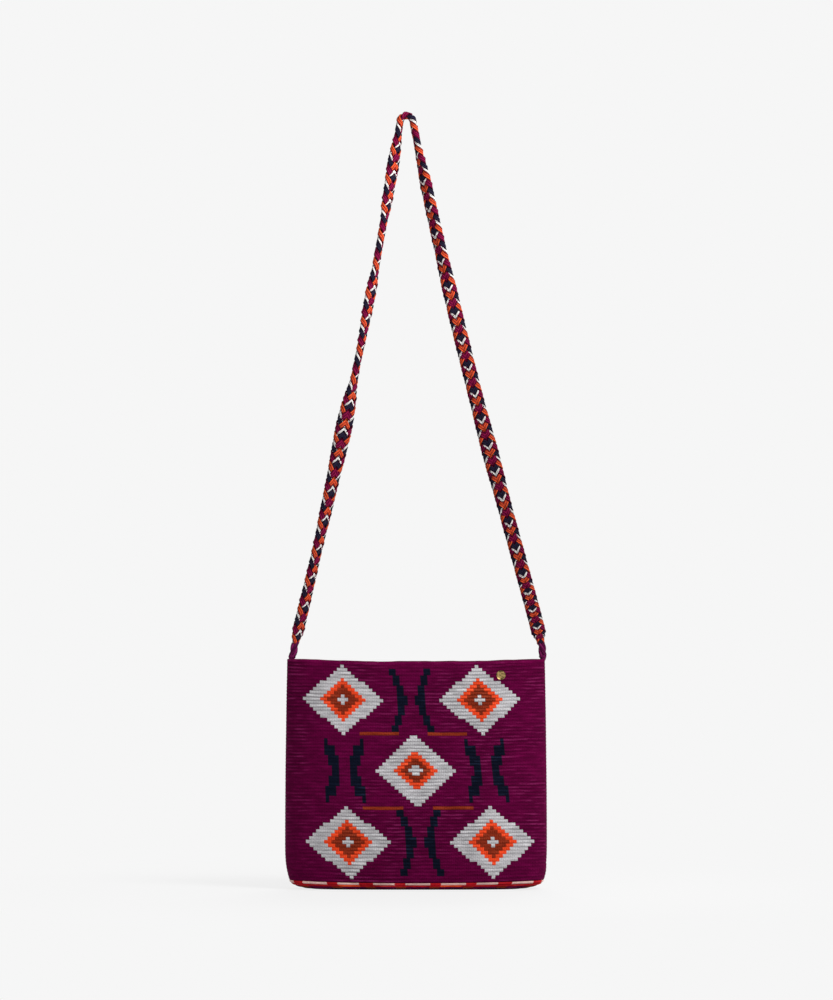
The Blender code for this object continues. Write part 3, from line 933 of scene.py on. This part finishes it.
# How one strand goes round the plait's section over a cycle:
# (share of the cycle, across, out, facing, width). Across and out are shares of the half width and
# half thickness, facing is in degrees from +across, and width is a share of the strand's own.
# It crosses the front from the other side's middle, dives under, shows again at its own edge,
# wraps the edge, crosses the back and comes up between the other side's two pairs.
STRAND_STEPS = (
    (0.000, 0.20, 1.00, 90, 1.0),
    (0.050, 0.04, 0.90, 95, 1.0),
    (0.100, -0.12, 0.50, 98, 0.9),
    (0.190, -0.28, 0.16, 100, 0.7),
    (0.290, -0.40, 0.24, 100, 0.7),
    (0.365, -0.52, 0.58, 104, 0.9),
    (0.435, -0.70, 0.78, 118, 1.0),
    (0.505, -0.88, 0.52, 142, 1.0),
    (0.575, -1.00, 0.02, 178, 1.0),
    (0.635, -0.93, -0.50, 218, 1.1),
    (0.690, -0.64, -0.94, 252, 1.25),
    (0.745, -0.14, -1.00, 268, 1.3),
    (0.790, 0.30, -0.72, 285, 1.0),
    (0.832, 0.60, -0.15, 335, 0.5),
    (0.868, 0.60, 0.50, 400, 0.6),
    (0.905, 0.50, 0.88, 435, 0.9),
    (0.950, 0.36, 1.00, 448, 1.0),
)


def strand_section(phase):
    """across, out, facing and width at phases of the cycle, on smooth curves through STRAND_STEPS."""
    knots = np.array(STRAND_STEPS)
    cycle = np.array([1, 0, 0, 360, 0])
    table = np.concatenate([knots[-2:] - cycle, knots, knots[:2] + cycle])
    t = phase - np.floor(phase)
    i = np.clip(np.searchsorted(table[:, 0], t, side="right") - 1, 1, len(table) - 3)
    p0, p1, p2, p3 = table[i - 1], table[i], table[i + 1], table[i + 2]
    span = p2[:, :1] - p1[:, :1]
    h = (t[:, None] - p1[:, :1]) / span
    slope_1 = (p2 - p0) / (p2[:, :1] - p0[:, :1]) * span
    slope_2 = (p3 - p1) / (p3[:, :1] - p1[:, :1]) * span
    value = (
        p1 * (2 * h**3 - 3 * h**2 + 1)
        + slope_1 * (h**3 - 2 * h**2 + h)
        + p2 * (-2 * h**3 + 3 * h**2)
        + slope_2 * (h**3 - h**2)
    )
    return value[:, 1], value[:, 2], value[:, 3], value[:, 4]


def strand_path(side, lag, rise):
    """A strand's middle line, the way across it, and its width at each point.

    side is 1 for the left group, -1 for the right, whose strands pass under the left group's where the
    two cross. rise is how much higher one of these lies where it comes up between the left group's.
    """
    cycles = np.array(PLAIT_CYCLES, float)
    count = round((cycles[0, 1] - cycles[-1, 1]) * POINTS_PER_CYCLE)
    wanted = np.linspace(cycles[-1, 1], cycles[0, 1], count + 1)
    run = np.interp(wanted, cycles[::-1, 1], cycles[::-1, 0])[::-1]
    run = run * STRAP_LENGTH / cycles[-1, 0]
    phase = np.interp(run * cycles[-1, 0] / STRAP_LENGTH, cycles[:, 0], cycles[:, 1]) - lag
    across, out, facing, width = strand_section(phase - (GROUP_LAG if side < 0 else 0))
    if side < 0:
        for crossing, shift, breadth in GIVING_WAY + ((RISE_PLACE, rise, RISE_BREADTH),):
            near = (phase - crossing + 0.5) % 1.0 - 0.5
            out = out + shift * np.exp(-((near / breadth) ** 2))
    to_end = np.minimum(run, STRAP_LENGTH - run)
    full = np.clip(to_end / STRAP_END_TAPER, 0, 1)
    full = full * full * (3 - 2 * full)
    spread = eased(run / STRAP_LENGTH, STRAP_SPREAD)
    half_width = STRAP_WIDTH / 2 * (TAB_WIDTH / STRAP_WIDTH * (1 - full) + spread * full) - EDGE_INSET
    half_thickness = STRAP_THICKNESS / 2 * (TAB_DEPTH / STRAP_THICKNESS * (1 - full) + full) - YARN_RADIUS
    middle, wide, front = strap_axes(run)
    wide = wide * side
    centre = middle + wide * (across * half_width)[:, None] + front * (out * half_thickness)[:, None]
    angle = np.radians(facing)[:, None]
    normal = wide * np.cos(angle) + front * np.sin(angle)
    along = np.gradient(centre, axis=0)
    along /= np.linalg.norm(along, axis=1)[:, None]
    beside = np.cross(along, normal)
    beside /= np.linalg.norm(beside, axis=1)[:, None]
    return centre, beside, width * (END_WIDTH + (1 - END_WIDTH) * full)


def tube_mesh(line, beside, radius, sides, ply_length):
    """A tube along a line. beside gives a way across it at each point, from which its UV map starts."""
    along = np.gradient(line, axis=0)
    along /= np.linalg.norm(along, axis=1)[:, None]
    first = beside - along * np.sum(beside * along, axis=1)[:, None]
    first /= np.linalg.norm(first, axis=1)[:, None]
    second = np.cross(along, first)
    run = np.concatenate([[0], np.cumsum(np.linalg.norm(np.diff(line, axis=0), axis=1))])

    def place(u, v):
        angle = (math.tau * (u % sides) / sides)[:, None]
        return line[v] + radius * (first[v] * np.cos(angle) + second[v] * np.sin(angle))

    def uv_of(u, v):
        return u / sides, run[v] / ply_length

    return bent_grid(sides, len(line) - 1, place, uv_of)[0]


def joined(meshes, dyes):
    """Several yarns' meshes as one, each with its dye lot, from 0 for the deep one to 1 for the light."""
    bm = bmesh.new()
    layer = bm.faces.layers.float.new("dye")
    for mesh, dye in zip(meshes, dyes):
        known = len(bm.faces)
        bm.from_mesh(mesh)
        bm.faces.ensure_lookup_table()
        for face in bm.faces[known:]:
            face[layer] = dye
    whole = bpy.data.meshes.new("joined")
    bm.to_mesh(whole)
    bm.free()
    return whole


# The strands in their order down the plait, in the order of PLIED_YARNS:
# (name, where in the cycle, its yarn's share of the full thickness, its rise, its yarns' dye lots)
STRANDS = (
    ("undyed", 0.006, 0.76, 0.38, (0.9, 0.4)),
    ("orange", 0.214, 1.0, 0.0, (1.0, 0.3, 0.8, 0.0)),
    ("plum", 0.536, 1.0, 0.0, (0.1, 0.9, 0.3, 1.0, 0.2)),
    ("navy", 0.832, 0.9, 0.0, (0.2, 0.9, 0.4, 0.7)),
)


def make_strap(yarns):
    """The plait: eight strands, each of several yarns that lie side by side like a ribbon."""
    rng = np.random.default_rng(STRAY_SEED)
    pieces = []
    for side, side_name in ((1, "left"), (-1, "right")):
        for (name, lag, thickness, rise, dyes), yarn in zip(STRANDS, yarns):
            centre, beside, width = strand_path(side, lag, rise)
            run = np.linspace(0, STRAY_WAVES * math.tau, len(centre))
            meshes = []
            for k in range(len(dyes)):
                # No two yarns lie quite alike: each strays in its own waves
                stray = YARN_STRAY * np.sin(run * rng.uniform(*STRAY_PACE) + rng.uniform(0, math.tau))
                off = (((len(dyes) - 1) / 2 - k) * YARN_SPACING * thickness + stray) * width * side
                line = centre + beside * off[:, None]
                meshes.append(tube_mesh(line, beside, YARN_RADIUS * thickness, YARN_SIDES, PLY_LENGTH))
            piece = finish_piece(f"strand_{name}_{side_name}", joined(meshes, dyes), [yarn], fill_ends=True)
            pieces.append(piece)
    for piece in pieces:
        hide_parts("plaited_strap")
    return pieces


# The tabs at the bag's top corners


def make_tab(name, side, node, yarn):
    """A tab: three plied cords twisted together, bound at the foot, and pulled by the strap."""
    foot, tip = corner_point(side), tab_tip(side)
    share = np.linspace(0, 1, TAB_POINTS)
    line = np.array([tuple(foot.lerp(tip, s)) for s in np.linspace(*TAB_SPAN, TAB_POINTS)])
    arch = np.sin(share * math.pi)
    middle = np.stack([line[:, 0] + TAB_BOW[side] * arch, 0 * share, line[:, 1]], axis=1)
    bulge = TAB_FULLNESS[side] + TAB_BULGE[side] * arch
    bulge *= TAB_FOOT_WIDTH + (1 - TAB_FOOT_WIDTH) * np.clip(share / TAB_FOOT_SHARE, 0, 1)
    meshes = []
    for k in range(TAB_CORDS):
        angle = math.tau * (k / TAB_CORDS + TAB_TURNS * share * -side) + TAB_FIRST_ANGLE
        x = (TAB_WIDTH / 2 - TAB_CORD_RADIUS) * np.cos(angle) * bulge
        y = (TAB_DEPTH / 2 - TAB_FRONT_INSET) * np.sin(angle) * bulge
        cord = middle + np.stack([x, y, 0 * x], axis=1)
        beside = np.stack([np.cos(angle), np.sin(angle), 0 * x], axis=1)
        meshes.append(tube_mesh(cord, beside, TAB_CORD_RADIUS, TAB_CORD_SIDES, TAB_CORD_PLY_LENGTH))
    turn = np.linspace(0, BINDING_TURNS * math.tau, BINDING_POINTS)
    x = foot.x + BINDING_HALF_WIDTH * np.cos(turn)
    z = foot.y + np.linspace(*BINDING_HEIGHTS, BINDING_POINTS)
    binding = np.stack([x, BINDING_HALF_DEPTH * np.sin(turn), z], axis=1)
    beside = np.stack([0 * turn, 0 * turn, 1 + 0 * turn], axis=1)
    meshes.append(tube_mesh(binding, beside, BINDING_RADIUS, YARN_SIDES, PLY_LENGTH))
    piece = finish_piece(name, joined(meshes, TAB_DYES), [yarn], fill_ends=True)
    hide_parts(node)
    return piece


# The brass disc


def make_disc(metal):
    """A thin disc with a rolled edge and a slightly domed face, turned from its profile."""
    low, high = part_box("brass_disc")
    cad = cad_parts["brass_disc"].data
    back = [p for p in cad.polygons if p.normal.y > DISC_BACK_FACING]
    normal = -sum((p.normal * p.area for p in back), Vector()).normalized()
    radius = (high.x - low.x) / 2
    bm = bmesh.new()
    verts = [bm.verts.new((r * radius, 0, h * DISC_THICKNESS)) for r, h in DISC_PROFILE]
    edges = [bm.edges.new(pair) for pair in zip(verts, verts[1:])]
    turned = {"axis": (0, 0, 1), "cent": (0, 0, 0), "steps": DISC_STEPS, "angle": math.tau}
    bmesh.ops.spin(bm, geom=verts + edges, use_merge=True, **turned)
    bmesh.ops.remove_doubles(bm, verts=bm.verts, dist=SAME_POINT)
    turn = Vector((0, 0, 1)).rotation_difference(normal).to_matrix().to_4x4()
    seat = (low + high) / 2 - normal * DISC_THICKNESS / 2
    bmesh.ops.transform(bm, matrix=Matrix.Translation(seat) @ turn, verts=bm.verts)
    mesh = bpy.data.meshes.new("disc")
    bm.to_mesh(mesh)
    bm.free()
    piece = finish_piece("brass_stud", mesh, [metal])
    piece.data.set_sharp_from_angle(angle=math.radians(DISC_SHARP_ANGLE))
    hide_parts("brass_disc")
    return piece


# The stage, the light and the camera


def seen_directly(tree):
    """1 for what the camera sees, also in a mirror or through glass, and 0 for what gives light."""
    path = add_node(tree, "ShaderNodeLightPath")
    seen = math_node(tree, "MAXIMUM", path.outputs["Is Camera Ray"], path.outputs["Is Glossy Ray"])
    return math_node(tree, "MAXIMUM", seen, path.outputs["Is Transmission Ray"])


def make_stage():
    """A pale floor, seen at one even tone that lets through a share of its real shade by the bag."""
    bm = bmesh.new()
    bmesh.ops.create_grid(bm, x_segments=1, y_segments=1, size=FLOOR_SIZE / 2)
    mesh = bpy.data.meshes.new("floor")
    bm.to_mesh(mesh)
    bm.free()
    floor = bpy.data.objects.new("floor", mesh)
    bpy.context.scene.collection.objects.link(floor)
    made, tree, shader = new_material("pale_floor")
    shader.inputs["Base Color"].default_value = linear(FLOOR_COLOUR)
    shader.inputs["Roughness"].default_value = 0.9
    place = add_node(tree, "ShaderNodeTexCoord").outputs["Object"]
    away = add_node(tree, "ShaderNodeVectorMath", {"operation": "LENGTH"}, {0: place}).outputs["Value"]
    even = smooth_range(tree, away, *FLOOR_GLOW_REACH, FLOOR_GLOW_NEAR, 1.0)
    share = math_node(tree, "MULTIPLY", seen_directly(tree), even)
    glow = add_node(tree, "ShaderNodeEmission", {}, {"Color": linear(BACKDROP), "Strength": 1.0})
    mixed = add_node(tree, "ShaderNodeMixShader", {}, {0: share, 1: shader.outputs[0], 2: glow.outputs[0]})
    tree.links.new(mixed.outputs[0], tree.nodes["Material Output"].inputs["Surface"])
    mesh.materials.append(made)


def make_world():
    """Even light from all round, and a pale background where the camera or a reflection sees it."""
    world = bpy.data.worlds.new("studio")
    bpy.context.scene.world = world
    world.use_nodes = True
    tree = world.node_tree
    light = tree.nodes["Background"]
    light.inputs["Color"].default_value = linear("#FFFFFF")
    light.inputs["Strength"].default_value = LIGHT_ALL_ROUND
    shown = add_node(tree, "ShaderNodeBackground", {}, {"Color": linear(BACKDROP), "Strength": 1.0})
    links = {0: seen_directly(tree), 1: light.outputs[0], 2: shown.outputs[0]}
    mixed = add_node(tree, "ShaderNodeMixShader", {}, links)
    tree.links.new(mixed.outputs[0], tree.nodes["World Output"].inputs["Surface"])


def add_lamp(name, place, aim, size, power):
    """A square soft lamp that faces a point."""
    data = bpy.data.lights.new(name, "AREA")
    data.shape = "SQUARE"
    data.size = size
    data.energy = power
    lamp = bpy.data.objects.new(name, data)
    lamp.location = place
    lamp.rotation_euler = (Vector(aim) - Vector(place)).to_track_quat("-Z", "Y").to_euler()
    bpy.context.scene.collection.objects.link(lamp)


def make_camera():
    """Square on to the front, from far enough that the bag's depth hardly shows."""
    data = bpy.data.cameras.new("camera")
    data.sensor_width = SENSOR
    data.lens = SENSOR * CAMERA_DISTANCE / VIEW_HEIGHT
    data.clip_end = CAMERA_REACH
    camera = bpy.data.objects.new("camera", data)
    camera.location = (VIEW_CENTRE[0], -CAMERA_DISTANCE, VIEW_CENTRE[1])
    camera.rotation_euler = (math.pi / 2, 0, 0)
    bpy.context.scene.collection.objects.link(camera)
    bpy.context.scene.camera = camera


def main():
    bpy.context.scene.view_settings.view_transform = "Standard"
    make_camera()
    make_stage()
    make_world()
    for lamp in LAMPS:
        add_lamp(*lamp)
    yarns = [crochet_cotton(f"{name}_crochet_cotton", *colours) for name, *colours in CROCHET_YARNS]
    make_body(yarns)
    make_base(yarns)
    make_strap([plied_cotton(f"{name}_plied_cotton", *colours) for name, *colours in PLIED_YARNS])
    tab_yarn = plied_cotton(*TAB_YARN)
    make_tab("tab_cords_left", -1, "strap_tab_left", tab_yarn)
    make_tab("tab_cords_right", 1, "strap_tab_right", tab_yarn)
    make_disc(stamped_brass())


main()
